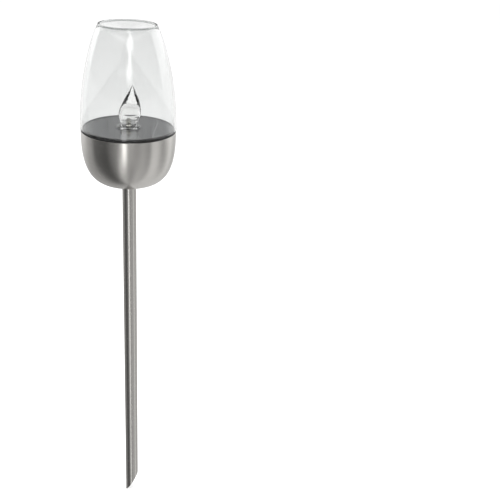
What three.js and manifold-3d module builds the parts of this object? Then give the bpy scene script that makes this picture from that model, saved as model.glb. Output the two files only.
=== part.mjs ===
// A solar garden torch: a steel stake, a steel bowl, and a solar lamp with a flame lens
// under a tulip glass.
// Millimetres, +Z up. The origin is level with the stake's tip, on the torch's axis.

import * as THREE from 'three';
import { mergeVertices } from 'three/addons/utils/BufferGeometryUtils.js';
import Module from 'manifold-3d';

const wasm = await Module();
wasm.setup();

// Stake
const stakeLength = 444;
const stakeDiameter = 16;
const stakeWall = 0.8;
const mitreHeight = 28;

// Spigot, the plug that carries the bowl in the stake
const spigotLength = 32;
const spigotFit = 0.3; // radial, to the stake's bore
const spigotChamfer = 1.5;
const collarThickness = 1.4;
const collarInset = 0.25; // the collar stands back from the stake's outside
const spigotScrewRadius = 2;
const spigotScrewLength = 12;
const spigotScrewHead = { radius: 3.8, height: 2.4 };
const washerRadius = 8;
const washerThickness = 1;

// Bowl: its side is a superellipse, flat at the bottom and upright at the rim
const bowlDiameter = 107;
const bowlHeight = 63;
const bowlWall = 0.8;
const bowlSidePower = 4;
const bowlDepthPower = 2.6;

// Glass: an open tulip, close to half an ellipsoid that is cut off by the rim
const glassOverhang = 0.5; // of the glass's foot, past the bowl
const glassHeight = 114.8;
const glassWall = 2;
const glassMouthDiameter = 63.4;
const glassPower = 1.85;
const glassBead = 1.3; // radius of the melted rim

// Carrier, the moulded plate between the bowl and the glass
const flangeThickness = 0.8;
const flangeInset = 0.2; // the flange stands back from the bowl's outside
const plateauHeight = 3.5; // the panel's top above the bowl's rim
const plateauClearance = 0.7; // radial, to the inside of the glass
const carrierFloor = 2;
const skirtDepth = 12;
const skirtWall = 2.2;
const skirtClearance = 0.6; // radial, to the bowl's inside
const bossRadius = 8.2;
const bossHeight = 5.1;
const leadHoleRadius = 2;
const wireHoleRadius = 1.4;
const panelWireOffset = 24; // of the panel's wire holes, behind the axis
const panelWireSpacing = 7;
const sealHeight = 2.4;
const sealDepth = 1.2;
const sealDrop = 1.2; // of the seal's top below the bowl's rim
const gasketThickness = 0.6;
const gasketWidth = 2.2;

// Solar panel
const panelRim = 1.6; // of the carrier, around the panel
const panelHoleRadius = 10.4;
const boardThickness = 0.8;
const cellThickness = 0.3;
const cellMargin = 1.6;
const cellSpacing = 1.2;
const cellCount = 4;
const ribbonThickness = 0.15;
const ribbonWidth = 0.9;
const coverThickness = 0.75;

// Flame lens and its light-emitting diode
const lensFlangeRadius = 13.6;
const lensFlangeThickness = 1.4;
const lensHeight = 50.8; // of the tip above the bowl's rim
const lensWall = 2.2;
const lensCavityHeight = 29;
const diodeRadius = 2.5;
const diodeFlangeRadius = 2.9;
const diodeHeight = 8.6;
const leadSpacing = 2.54;
const leadWidth = 0.5;
const leadLength = 15;

// Battery housing, under the carrier
const postLength = 6.3;
const postRadius = 3.2;
const housingFlangeThickness = 2;
const housingFlangeMargin = 4; // past the screws' circle
const housingWall = 1.8;
const housingFloor = 3.4;
const housingScrewCount = 3;
const housingScrewRadius = 1.3;
const housingScrewHead = { radius: 2.6, height: 1.8 };

// Battery and its bay
const batteryRadius = 7.1;
const batteryLength = 50.5;
const batteryNub = { radius: 2.7, height: 1 };
const bayOffset = 10; // of the battery's axis, in front of the torch's axis
const baySideClearance = 1.2;
const bayCeiling = 1.5;
const bayWall = 3.4;
const wireRoom = 3.6; // between the bay's roof and the diode's leads
const springLength = 9.1;
const springTurns = 4.5;
const springWire = 0.35;
const plateThickness = 0.6;
const plateWidth = 10;
const tabWidth = 3;
const tabRise = 2;
const doorThickness = 2;
const doorLedge = 1.7;
const doorTabRadius = 4;
const doorScrewRadius = 1.2;
const doorScrewLength = 4.5;
const doorScrewHead = { radius: 2.3, height: 1.5 };
const doorPostLength = 7;

// Circuit board and switch, behind the bay
const circuitLength = 36;
const circuitWidth = 21;
const circuitThickness = 1.6;
const circuitClearance = 4; // to the door's screw tab
const circuitScrewInset = 4;
const circuitScrewRadius = 1;
const circuitScrewHead = { radius: 1.9, height: 1.3 };
const chipSize = [5, 4, 1.6];
const inductorRadius = 4;
const inductorHeight = 6;
const switchSize = [14, 6, 5];
const switchWall = 1;
const switchTravel = 4;
const sliderSize = [3.4, 3.2];
const sliderProud = 1.3; // of the slider, below the housing
const wireRadius = 0.6;

// Clearances and fineness
const gap = 0.3;
const screwGap = 0.3;
const headGap = 0.9; // between a screw's head and a wall beside it
const pilotSpare = 1.5;
const aroundLarge = 40;
const aroundSmall = 16;

// Levels that several pieces share. Lamp levels count from the bowl's rim.
const collarZ = -gap - collarThickness;
const bowlZ = stakeLength + gap - collarZ;
const rimZ = bowlZ + bowlHeight;
const bowlInside = bowlDiameter / 2 - bowlWall;
const glassFootRadius = bowlDiameter / 2 + glassOverhang;
const flangeTop = gap + flangeThickness;
const gasketTop = flangeTop + gap + gasketThickness;
const glassZ = gasketTop + gap;
const plateauRadius = glassFootRadius - glassWall - plateauClearance;
const panelRadius = plateauRadius - panelRim - gap;
const coverZ = plateauHeight - coverThickness;
const ribbonZ = coverZ - gap - ribbonThickness;
const cellZ = ribbonZ - gap - cellThickness;
const boardZ = cellZ - gap - boardThickness;
const floorTop = boardZ - gap;
const floorUnder = floorTop - carrierFloor;
const diodeZ = bossHeight + gap;
const leadTop = diodeZ - gap;
const leadEnd = leadTop - leadLength;
const housingTop = floorUnder - postLength - gap;
const bayRoof = leadEnd - wireRoom;
const bayTop = bayRoof - bayCeiling;
const batteryZ = bayTop - gap - batteryRadius;
const doorSeat = batteryZ - batteryRadius - gap;
const housingUnder = doorSeat - gap - doorThickness;
const housingFloorTop = housingUnder + housingFloor;
const bayLength = batteryLength + springLength + 2 * plateThickness + 5 * gap;
const bayWidth = 2 * (batteryRadius + baySideClearance);
const recessCorner = [bayLength / 2 + doorLedge + gap, bayOffset + bayWidth / 2 + doorLedge + gap];
const housingRadius = Math.hypot(...recessCorner) + housingWall;
const postCircleRadius = housingRadius + headGap + housingScrewHead.radius;
const housingFlangeRadius = postCircleRadius + housingFlangeMargin;
const doorTabY = bayWidth / 2 + doorLedge + doorTabRadius / 2 - bayOffset;
const circuitOffset = doorTabY + doorTabRadius + circuitClearance + circuitWidth / 2; // behind the axis
const switchUnder = housingFloorTop + gap;
const circuitUnder = switchUnder + switchSize[2] + gap;
const circuitTop = circuitUnder + circuitThickness;
const plateX = bayLength / 2 - gap - plateThickness;

// ---------------------------------------------------------------- shapes

function circle(radius, x = 0, y = 0) {
  return new THREE.Shape().absarc(x, y, radius, 0, 2 * Math.PI);
}

function rectangle(length, width, x = 0, y = 0) {
  const [l, w] = [length / 2, width / 2];
  const corners = [[x - l, y - w], [x + l, y - w], [x + l, y + w], [x - l, y + w]];
  return new THREE.Shape(corners.map(([a, b]) => new THREE.Vector2(a, b)));
}

// A whole circle gets twice as many sides as its curveSegments.
function slab(shape, bottom, top, around = aroundLarge) {
  const settings = { depth: top - bottom, bevelEnabled: false, curveSegments: around / 2 };
  return new THREE.ExtrudeGeometry(shape, settings).translate(0, 0, bottom);
}

function block(length, width, bottom, top, x = 0, y = 0) {
  return slab(rectangle(length, width, x, y), bottom, top);
}

function rod(radius, bottom, top, x = 0, y = 0, around = aroundSmall) {
  return slab(circle(radius, x, y), bottom, top, around);
}

// A solid of revolution about Z. Its profile of [radius, height] runs with the material on its left.
function turned(profile, around = aroundLarge) {
  const points = profile.map(([radius, height]) => new THREE.Vector2(radius, height));
  return new THREE.LatheGeometry(points, around).rotateX(Math.PI / 2);
}

function ring(inner, outer, bottom, top, around = aroundLarge) {
  const section = [[inner, bottom], [outer, bottom], [outer, top], [inner, top], [inner, bottom]];
  return turned(section, around);
}

function tubeAlong(curve, radius, steps, sides = 6) {
  const settings = { steps, bevelEnabled: false, extrudePath: curve, curveSegments: sides / 2 };
  return new THREE.ExtrudeGeometry(circle(radius), settings);
}

// ---------------------------------------------------------------- solids

function solid(geometry) {
  const bare = geometry.clone();
  bare.deleteAttribute('normal');
  bare.deleteAttribute('uv');
  const merged = mergeVertices(bare, 1e-4);
  const triangles = [];
  for (let i = 0; i < merged.index.count; i += 3) {
    const [a, b, c] = [0, 1, 2].map((k) => merged.index.getX(i + k));
    if (a !== b && b !== c && c !== a) triangles.push(a, b, c);
  }
  const vertProperties = new Float32Array(merged.attributes.position.array);
  const triVerts = new Uint32Array(triangles);
  return new wasm.Manifold(new wasm.Mesh({ numProp: 3, vertProperties, triVerts }));
}

function geometryOf(body) {
  const { vertProperties, triVerts } = body.getMesh();
  const geometry = new THREE.BufferGeometry();
  geometry.setAttribute('position', new THREE.BufferAttribute(vertProperties, 3));
  geometry.setIndex(new THREE.BufferAttribute(triVerts, 1));
  geometry.computeVertexNormals();
  return geometry;
}

function cut(geometry, ...tools) {
  return geometryOf(tools.reduce((body, tool) => body.subtract(solid(tool)), solid(geometry)));
}

function joined(geometry, ...others) {
  return geometryOf(others.reduce((body, other) => body.add(solid(other)), solid(geometry)));
}

function shared(geometry, other) {
  return geometryOf(solid(geometry).intersect(solid(other)));
}

// ---------------------------------------------------------------- finishes

function finish(color, roughness, metalness = 0, opacity = 1) {
  return { color, roughness, metalness, opacity, transparent: opacity < 1 };
}

const brushedSteel = finish(0xa9a7a3, 0.32, 1);
const screwSteel = finish(0xb4b4b6, 0.3, 1);
const blackPlastic = finish(0x141415, 0.45);
const blackRubber = finish(0x101010, 0.8);
const clearGlass = finish(0xeef2f0, 0.03, 0, 0.3);
const clearAcrylic = finish(0xf4f4f0, 0.05, 0, 0.4);
const clearEpoxy = finish(0xd8dcdc, 0.08, 0, 0.35);
const amberEpoxy = finish(0xf3d9a0, 0.1, 0, 0.6);
const darkLaminate = finish(0x17191c, 0.5);
const silicon = finish(0x1b1e26, 0.25);
const tinnedCopper = finish(0xcfcfca, 0.35, 1);
const nickel = finish(0xc9c6bd, 0.28, 1);
const greenLaminate = finish(0x1f5a34, 0.5);
const ferrite = finish(0x2b2b2d, 0.6);
const batteryFilm = finish(0x3f6f4a, 0.35);
const redPvc = finish(0xa81f1c, 0.5);
const blackPvc = finish(0x161616, 0.5);

const group = new THREE.Group();
const bowlGroup = new THREE.Group();
const lampGroup = new THREE.Group();
bowlGroup.position.z = bowlZ;
lampGroup.position.z = rimZ;
group.add(bowlGroup, lampGroup);

function place(parent, name, geometry, look) {
  const mesh = new THREE.Mesh(geometry, new THREE.MeshStandardMaterial(look));
  mesh.name = name;
  parent.add(mesh);
  return mesh;
}

// A pan-head screw with a crossed recess, its head's seat at z = 0 and its head above.
function panScrew(radius, length, head) {
  const crown = head.height * 0.3;
  const body = turned([
    [0, -length],
    [radius * 0.6, -length],
    [radius, -length + radius],
    [radius, 0],
    [head.radius, 0],
    [head.radius, head.height - crown],
    [head.radius - crown, head.height],
    [0, head.height],
  ], aroundSmall);
  const [slotLength, slotWidth] = [head.radius * 1.1, head.radius * 0.28];
  const depth = head.height * 0.55;
  const recess = [[slotLength, slotWidth], [slotWidth, slotLength]].map(([length, width]) =>
    block(length, width, head.height - depth, head.height + depth));
  return cut(body, ...recess);
}

// ---------------------------------------------------------------- stake

function stakeTube() {
  const radius = stakeDiameter / 2;
  const wall = circle(radius);
  wall.holes.push(circle(radius - stakeWall));
  const slope = mitreHeight / stakeDiameter;
  const beyond = stakeDiameter;
  const low = [-radius - beyond, -beyond * slope];
  const high = [radius + beyond, mitreHeight + beyond * slope];
  const under = [radius + beyond, -beyond * slope];
  const outline = new THREE.Shape([low, under, high].map(([x, z]) => new THREE.Vector2(x, z)));
  const wedge = slab(outline, -beyond, beyond).rotateX(Math.PI / 2);
  return cut(slab(wall, 0, stakeLength), wedge);
}

place(group, 'stake_tube', stakeTube(), brushedSteel);

// ---------------------------------------------------------------- bowl and spigot

const screwHoleRadius = spigotScrewRadius + screwGap;

// One side of the bowl, from the rim down to the screw hole, as [radius, height above the bottom].
function bowlSide(radius, height, bottom) {
  const end = Math.acos((screwHoleRadius / radius) ** (bowlSidePower / 2));
  const steps = 12;
  return Array.from({ length: steps + 1 }, (_, i) => {
    const angle = end * (i / steps) ** 0.85;
    const depth = height * Math.sin(angle) ** (2 / bowlDepthPower);
    return [radius * Math.cos(angle) ** (2 / bowlSidePower), bottom + height - depth];
  });
}

function steelBowl() {
  const outside = bowlSide(bowlDiameter / 2, bowlHeight, 0).reverse();
  const inside = bowlSide(bowlInside, bowlHeight - bowlWall, bowlWall);
  return turned([...outside, ...inside, outside[0]]);
}

function stakeSpigot() {
  const radius = stakeDiameter / 2 - stakeWall - spigotFit;
  const collarRadius = stakeDiameter / 2 - collarInset;
  const holeEnd = -gap - spigotScrewLength - pilotSpare;
  return turned([
    [0, collarZ - spigotLength],
    [radius - spigotChamfer, collarZ - spigotLength],
    [radius, collarZ - spigotLength + spigotChamfer],
    [radius, collarZ],
    [collarRadius, collarZ],
    [collarRadius, -gap],
    [screwHoleRadius, -gap],
    [screwHoleRadius, holeEnd],
    [0, holeEnd],
  ], 32);
}

const washerZ = bowlWall + gap;
const spigotScrewZ = washerZ + washerThickness + gap;

place(bowlGroup, 'steel_bowl', steelBowl(), brushedSteel);
place(bowlGroup, 'stake_spigot', stakeSpigot(), blackPlastic);
place(bowlGroup, 'spigot_washer',
  ring(screwHoleRadius, washerRadius, washerZ, washerZ + washerThickness, 32), screwSteel);
place(bowlGroup, 'spigot_screw',
  panScrew(spigotScrewRadius, spigotScrewZ + spigotScrewLength, spigotScrewHead)
    .translate(0, 0, spigotScrewZ), screwSteel);

// ---------------------------------------------------------------- glass shade

// Half the glass's outer side. The ellipse's height is set by the mouth.
function glassRadius(height) {
  const mouth = glassMouthDiameter / 2;
  const reach = (1 - (mouth / glassFootRadius) ** 2) ** (1 / glassPower);
  return glassFootRadius * Math.sqrt(1 - (reach * height / glassHeight) ** glassPower);
}

function glassShade() {
  const steps = 12;
  const neck = glassHeight - 2 * glassBead;
  const heights = Array.from({ length: steps + 1 }, (_, i) => neck * i / steps);
  const outside = heights.map((z) => [glassRadius(z), z]);
  const inside = heights.map((z) => [glassRadius(z) - glassWall, z]).reverse();
  const middle = glassRadius(glassHeight - glassBead) - glassBead;
  const bead = Array.from({ length: 6 }, (_, i) => {
    const angle = Math.PI * (i + 0.5) / 6;
    return [middle + glassBead * Math.cos(angle), neck + glassBead * (0.9 + 1.1 * Math.sin(angle))];
  });
  return turned([...outside, ...bead, ...inside, outside[0]]);
}

const gasketOuter = glassFootRadius - 2 * flangeInset;
const gasketZ = flangeTop + gap;

place(lampGroup, 'glass_shade', glassShade().translate(0, 0, glassZ), clearGlass);
place(lampGroup, 'glass_gasket',
  ring(gasketOuter - gasketWidth, gasketOuter, gasketZ, gasketTop), blackRubber);

// ---------------------------------------------------------------- carrier

const postAngles = Array.from({ length: housingScrewCount },
  (_, i) => Math.PI / 2 + 2 * Math.PI * i / housingScrewCount);
const postPlaces = postAngles.map((angle) =>
  [postCircleRadius * Math.cos(angle), postCircleRadius * Math.sin(angle)]);
const postHoleRadius = housingScrewRadius + screwGap;
const postUnder = floorUnder - postLength;
const wireHoles = [-1, 1].map((side) => [side * panelWireSpacing / 2, panelWireOffset]);

const skirtRadius = bowlInside - skirtClearance;
const sealTop = -sealDrop;
const sealUnder = sealTop - sealHeight;

function panelCarrier() {
  const sealSeat = skirtRadius - sealDepth;
  const body = turned([
    [leadHoleRadius, floorUnder],
    [skirtRadius - skirtWall, floorUnder],
    [skirtRadius - skirtWall, -skirtDepth],
    [skirtRadius, -skirtDepth],
    [skirtRadius, sealUnder - gap],
    [sealSeat, sealUnder - gap],
    [sealSeat, sealTop + gap],
    [skirtRadius, sealTop + gap],
    [skirtRadius, gap],
    [bowlDiameter / 2 - flangeInset, gap],
    [bowlDiameter / 2 - flangeInset, flangeTop],
    [plateauRadius, flangeTop],
    [plateauRadius, plateauHeight],
    [panelRadius + gap, plateauHeight],
    [panelRadius + gap, floorTop],
    [bossRadius, floorTop],
    [bossRadius, bossHeight],
    [leadHoleRadius, bossHeight],
    [leadHoleRadius, floorUnder],
  ]);
  const overlap = carrierFloor / 2;
  const posts = postPlaces.map(([x, y]) => rod(postRadius, postUnder, floorUnder + overlap, x, y));
  const pilots = postPlaces.map(([x, y]) => rod(postHoleRadius, postUnder - 1, floorUnder - 0.5, x, y));
  const holes = wireHoles.map(([x, y]) => rod(wireHoleRadius, floorUnder - 1, floorTop + 1, x, y));
  return cut(joined(body, ...posts), ...pilots, ...holes);
}

place(lampGroup, 'panel_carrier', panelCarrier(), blackPlastic);
place(lampGroup, 'bowl_seal',
  ring(skirtRadius - sealDepth + gap, bowlInside - gap, sealUnder, sealTop), blackRubber);

// ---------------------------------------------------------------- solar panel

function disc(bottom, top, radius = panelRadius) {
  return ring(panelHoleRadius, radius, bottom, top);
}

const solderHoles = wireHoles.map(([x, y]) => rod(wireRadius / 2, boardZ - 1, boardZ + 2, x, y));
place(lampGroup, 'panel_board',
  cut(disc(boardZ, boardZ + boardThickness), ...solderHoles), darkLaminate);
place(lampGroup, 'panel_cover', disc(coverZ, plateauHeight), clearEpoxy);

const cellRadius = panelRadius - cellMargin;
const cellPitch = 2 * cellRadius / cellCount;
for (let i = 0; i < cellCount; i += 1) {
  const middle = (i + 0.5) * cellPitch - cellRadius;
  const wafer = ring(panelHoleRadius + cellMargin, cellRadius, cellZ, cellZ + cellThickness);
  const strip = block(cellPitch - cellSpacing, 3 * cellRadius, cellZ - 1, cellZ + 1, middle);
  place(lampGroup, `solar_cell_${i + 1}`, shared(wafer, strip), silicon);
}

// The ribbon crosses the right-hand cells from back to front and turns along the front edge.
function tabbingRibbon() {
  const bends = [[0.70, 0.45], [0.53, -0.79], [0.74, -0.62]];
  const [back, front, end] = bends.map(([x, y]) => new THREE.Vector2(x * cellRadius, y * cellRadius));
  const lengths = [[back, front], [front, end]].map(([from, to]) => {
    const run = to.clone().sub(from);
    return block(run.length() + ribbonWidth, ribbonWidth, ribbonZ, ribbonZ + ribbonThickness)
      .rotateZ(run.angle())
      .translate((from.x + to.x) / 2, (from.y + to.y) / 2, 0);
  });
  return joined(...lengths);
}

place(lampGroup, 'tabbing_ribbon', tabbingRibbon(), tinnedCopper);

// ---------------------------------------------------------------- flame lens and diode

const lensFlangeZ = plateauHeight + gap;
const lensFlangeTop = lensFlangeZ + lensFlangeThickness;
const lensSpigotRadius = panelHoleRadius - gap;
const lensCavityRadius = bossRadius + gap;

// The flame's outline as [height above the rim as a share of the lens, radius], from neck to tip.
const flameOutline = [
  [0.13, 8.9], [0.2, 10.6], [0.28, 11.7], [0.36, 12], [0.45, 11.5], [0.56, 9.9],
  [0.68, 7.5], [0.8, 4.9], [0.9, 2.6], [0.97, 1.1],
];

// The flame leans to one side as it rises, and has four soft ridges that turn a little.
function flameForm(geometry) {
  const position = geometry.attributes.position;
  for (let i = 0; i < position.count; i += 1) {
    const [x, y, z] = [position.getX(i), position.getY(i), position.getZ(i)];
    const rise = THREE.MathUtils.smoothstep(z, lensFlangeTop, lensHeight);
    const lean = 0.6 * THREE.MathUtils.smoothstep(z, lensFlangeTop, 0.3 * lensHeight) + 3.9 * rise;
    const ridge = 1 + 0.07 * rise * Math.cos(4 * (Math.atan2(y, x) - 0.5 * rise));
    position.setXYZ(i, x * ridge + lean, y * ridge, z);
  }
  return geometry;
}

function flameLens() {
  const outside = flameOutline.map(([share, radius]) => [radius, share * lensHeight]);
  const inside = outside
    .filter(([, z]) => z > lensFlangeTop && z < lensCavityHeight - lensWall)
    .map(([radius, z]) => [radius - lensWall, z])
    .reverse();
  const cavityTop = inside[0][0];
  return flameForm(turned([
    [0, lensCavityHeight],
    [cavityTop * 0.5, lensCavityHeight - 0.2 * lensWall],
    [cavityTop * 0.85, lensCavityHeight - 0.6 * lensWall],
    ...inside,
    [lensCavityRadius, lensFlangeTop],
    [lensCavityRadius, floorTop + gap],
    [lensSpigotRadius, floorTop + gap],
    [lensSpigotRadius, lensFlangeZ],
    [lensFlangeRadius, lensFlangeZ],
    [lensFlangeRadius, lensFlangeTop],
    ...outside,
    [0, lensHeight],
  ], 32));
}

place(lampGroup, 'flame_lens', flameLens(), clearAcrylic);

function diode() {
  const dome = Array.from({ length: 5 }, (_, i) => {
    const angle = Math.PI / 2 * (i + 1) / 5;
    return [diodeRadius * Math.cos(angle), diodeHeight - diodeRadius * (1 - Math.sin(angle))];
  });
  dome[4][0] = 0;
  return turned([
    [0, 0],
    [diodeFlangeRadius, 0],
    [diodeFlangeRadius, 1],
    [diodeRadius, 1],
    [diodeRadius, diodeHeight - diodeRadius],
    ...dome,
  ], aroundSmall);
}

place(lampGroup, 'diode', diode().translate(0, 0, diodeZ), amberEpoxy);

for (const [name, side] of [['diode_lead_anode', 1], ['diode_lead_cathode', -1]]) {
  const x = side * leadSpacing / 2;
  place(lampGroup, name, block(leadWidth, leadWidth, leadEnd, leadTop, x), tinnedCopper);
}

// ---------------------------------------------------------------- battery housing

const switchX = 0;
const switchY = circuitOffset;
const sliderSlot = sliderSize[0] + switchTravel + 2 * gap;
const circuitPosts = [-1, 1].map((side) => [
  side * (circuitLength / 2 - circuitScrewInset),
  circuitOffset + circuitWidth / 2 - circuitScrewInset,
]);
const tabSlotWidth = tabWidth + 2 * gap;
const plateMiddle = plateX + plateThickness / 2;

// The door's outline with a tab for its screw, grown by a clearance.
function doorPlate(bottom, top, growth = 0) {
  const length = bayLength + 2 * doorLedge + 2 * growth;
  const width = bayWidth + 2 * doorLedge + 2 * growth;
  const panel = block(length, width, bottom, top, 0, -bayOffset);
  return joined(panel, rod(doorTabRadius + growth, bottom, top, 0, doorTabY));
}

function batteryHousing() {
  const inner = housingRadius - housingWall;
  const cup = turned([
    [0, housingUnder],
    [housingRadius, housingUnder],
    [housingRadius, housingTop - housingFlangeThickness],
    [housingFlangeRadius, housingTop - housingFlangeThickness],
    [housingFlangeRadius, housingTop],
    [inner, housingTop],
    [inner, housingFloorTop],
    [0, housingFloorTop],
  ]);
  const bay = shared(
    block(bayLength + 2 * bayWall, bayWidth + 2 * bayWall, housingUnder, bayRoof, 0, -bayOffset),
    rod(housingRadius - housingWall / 2, housingUnder, bayRoof, 0, 0, aroundLarge),
  );
  const floorMiddle = housingUnder + housingFloor / 2;
  const doorPost = rod(postRadius, floorMiddle, doorSeat + doorPostLength, 0, doorTabY);
  const boardPosts = circuitPosts.map(([x, y]) => rod(postRadius, floorMiddle, circuitUnder - gap, x, y));
  const hollow = block(bayLength, bayWidth, housingUnder - 1, bayTop, 0, -bayOffset);
  const recess = doorPlate(housingUnder - 1, doorSeat, gap);
  const pilotTop = doorSeat + doorPostLength - 1;
  const doorPilot = rod(doorScrewRadius + screwGap, housingUnder, pilotTop, 0, doorTabY);
  const boardPilots = circuitPosts.map(([x, y]) =>
    rod(circuitScrewRadius + screwGap, housingFloorTop, circuitUnder, x, y));
  const flangeHoles = postPlaces.map(([x, y]) =>
    rod(postHoleRadius, housingTop - 2 * housingFlangeThickness, housingTop + 1, x, y));
  const tabSlots = [-1, 1].map((side) =>
    block(plateThickness + 2 * gap, tabSlotWidth, bayTop - 1, bayRoof + 1, side * plateMiddle, -bayOffset));
  const switchSlot = block(sliderSlot, sliderSize[1] + 2 * gap, housingUnder - 1, housingFloorTop + 1,
    switchX, switchY);
  return cut(joined(cup, bay, doorPost, ...boardPosts),
    hollow, recess, doorPilot, ...boardPilots, ...flangeHoles, ...tabSlots, switchSlot);
}

place(lampGroup, 'battery_housing', batteryHousing(), blackPlastic);

const housingScrewZ = housingTop - housingFlangeThickness - gap;
postPlaces.forEach(([x, y], i) => {
  const length = housingFlangeThickness + postLength;
  place(lampGroup, `housing_screw_${i + 1}`,
    panScrew(housingScrewRadius, length, housingScrewHead).rotateX(Math.PI), screwSteel)
    .position.set(x, y, housingScrewZ);
});

// ---------------------------------------------------------------- battery, contacts and door

const batteryEnd = plateX - gap; // of the battery's nub
const batteryStart = batteryEnd - batteryLength;

function battery() {
  const shoulder = batteryLength - batteryNub.height;
  const round = 0.8;
  return turned([
    [0, 0],
    [batteryRadius - round, 0],
    [batteryRadius, round],
    [batteryRadius, shoulder - round],
    [batteryRadius - round, shoulder],
    [batteryNub.radius, shoulder],
    [batteryNub.radius, batteryLength],
    [0, batteryLength],
  ], 28).rotateY(Math.PI / 2).translate(batteryStart, -bayOffset, batteryZ);
}

place(lampGroup, 'battery', battery(), batteryFilm);

function contactPlate(side) {
  const bottom = batteryZ - plateWidth / 2;
  const x = side * plateMiddle;
  return joined(
    block(plateThickness, plateWidth, bottom, bottom + plateWidth, x, -bayOffset),
    block(plateThickness, tabWidth, bottom + 1, bayRoof + tabRise, x, -bayOffset),
  );
}

place(lampGroup, 'contact_plate_positive', contactPlate(1), nickel);
place(lampGroup, 'contact_plate_negative', contactPlate(-1), nickel);

// A coil that narrows from the plate towards the battery.
class ContactCoil extends THREE.Curve {
  getPoint(t, target = new THREE.Vector3()) {
    const angle = 2 * Math.PI * springTurns * t;
    const radius = 4.2 - 1.6 * t;
    return target.set(t * (springLength - 2 * springWire), radius * Math.cos(angle), radius * Math.sin(angle));
  }
}

const springStart = -plateX + gap + springWire;
place(lampGroup, 'contact_spring',
  tubeAlong(new ContactCoil(), springWire, 63).translate(springStart, -bayOffset, batteryZ), nickel);

const doorTop = doorSeat - gap;
place(lampGroup, 'battery_door',
  cut(doorPlate(housingUnder, doorTop),
    rod(doorScrewRadius + screwGap, housingUnder - 1, doorTop + 1, 0, doorTabY)),
  blackPlastic);
place(lampGroup, 'door_screw',
  panScrew(doorScrewRadius, doorThickness + doorScrewLength, doorScrewHead)
    .rotateX(Math.PI).translate(0, doorTabY, housingUnder - gap),
  screwSteel);

// ---------------------------------------------------------------- circuit board and switch

const boardHoles = circuitPosts.map(([x, y]) =>
  rod(circuitScrewRadius + screwGap, circuitUnder - 1, circuitTop + 1, x, y));
place(lampGroup, 'circuit_board',
  cut(block(circuitLength, circuitWidth, circuitUnder, circuitTop, 0, circuitOffset), ...boardHoles),
  greenLaminate);
circuitPosts.forEach(([x, y], i) => {
  const length = circuitThickness + switchSize[2] - pilotSpare;
  place(lampGroup, `board_screw_${i + 1}`,
    panScrew(circuitScrewRadius, length, circuitScrewHead).translate(x, y, circuitTop + gap), screwSteel);
});

const partZ = circuitTop + gap;
const chipPlace = [-9, circuitOffset - 4];
const inductorPlace = [7, circuitOffset - 3];
place(lampGroup, 'driver_chip',
  block(chipSize[0], chipSize[1], partZ, partZ + chipSize[2], ...chipPlace), ferrite);

function inductor() {
  const web = inductorRadius * 0.6;
  const flange = inductorHeight / 5;
  return turned([
    [0, 0], [inductorRadius, 0], [inductorRadius, flange], [web, flange],
    [web, inductorHeight - flange], [inductorRadius, inductorHeight - flange],
    [inductorRadius, inductorHeight], [0, inductorHeight],
  ], aroundSmall);
}

place(lampGroup, 'inductor', inductor(), ferrite).position.set(...inductorPlace, partZ);

const sliderTop = switchUnder + switchSize[2] / 2;
function switchBody() {
  const [length, width, height] = switchSize;
  const top = switchUnder + height;
  const [chamberWidth, chamberTop] = [width - 2 * switchWall, sliderTop + gap];
  const chamber = block(sliderSlot, chamberWidth, switchUnder - 1, chamberTop, switchX, switchY);
  return cut(block(length, width, switchUnder, top, switchX, switchY), chamber);
}

place(lampGroup, 'switch_body', switchBody(), nickel);
place(lampGroup, 'switch_slider',
  block(...sliderSize, housingUnder - sliderProud, sliderTop, switchX - switchTravel / 2, switchY),
  blackPlastic);

// ---------------------------------------------------------------- wires

// A wire runs from one end to the other along its bends, and stops a gap short of both.
function wire(...points) {
  const curve = new THREE.CatmullRomCurve3(points.map((p) => new THREE.Vector3(...p)));
  return tubeAlong(curve, wireRadius, 16);
}

const solderZ = circuitTop + gap;
const leadUnder = leadEnd - gap;
const backEdge = circuitOffset - circuitWidth / 2;
const tabTop = bayRoof + tabRise;
for (const [colour, look, side] of [['red', redPvc, 1], ['black', blackPvc, -1]]) {
  const lead = side * leadSpacing / 2;
  place(lampGroup, `diode_wire_${colour}`, wire(
    [lead, 0, leadUnder],
    [lead * 1.6, 1.5, leadUnder - 1.6],
    [lead * 2, backEdge - 2, leadUnder - 3],
    [side * 3.4, backEdge + 1.6, solderZ + 3],
    [side * 3.4, backEdge + 2, solderZ],
  ), look);

  const [holeX, holeY] = [side * panelWireSpacing / 2, panelWireOffset];
  place(lampGroup, `panel_wire_${colour}`, wire(
    [holeX, holeY, floorTop],
    [holeX, holeY, floorUnder - 2],
    [side * 7, holeY + 2, leadUnder - 2],
    [side * 8, holeY + 4, solderZ],
  ), look);

  const tab = side * plateMiddle;
  place(lampGroup, `battery_wire_${colour}`, wire(
    [tab, -bayOffset, tabTop + wireRadius],
    [tab - side * 1.5, -bayOffset + 4, tabTop + 2],
    [side * 22, backEdge - 4, bayRoof + 2],
    [side * (circuitLength / 2 - 2), backEdge + 2, solderZ + 2.5],
    [side * (circuitLength / 2 - 2.5), backEdge + 3, solderZ],
  ), look);
}

export default group;
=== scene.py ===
"""A solar garden torch: steel stake and bowl, a glass shade, and a clear flame over a solar panel."""

import math

import bmesh
import bpy
from mathutils import Matrix, Vector


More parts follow.
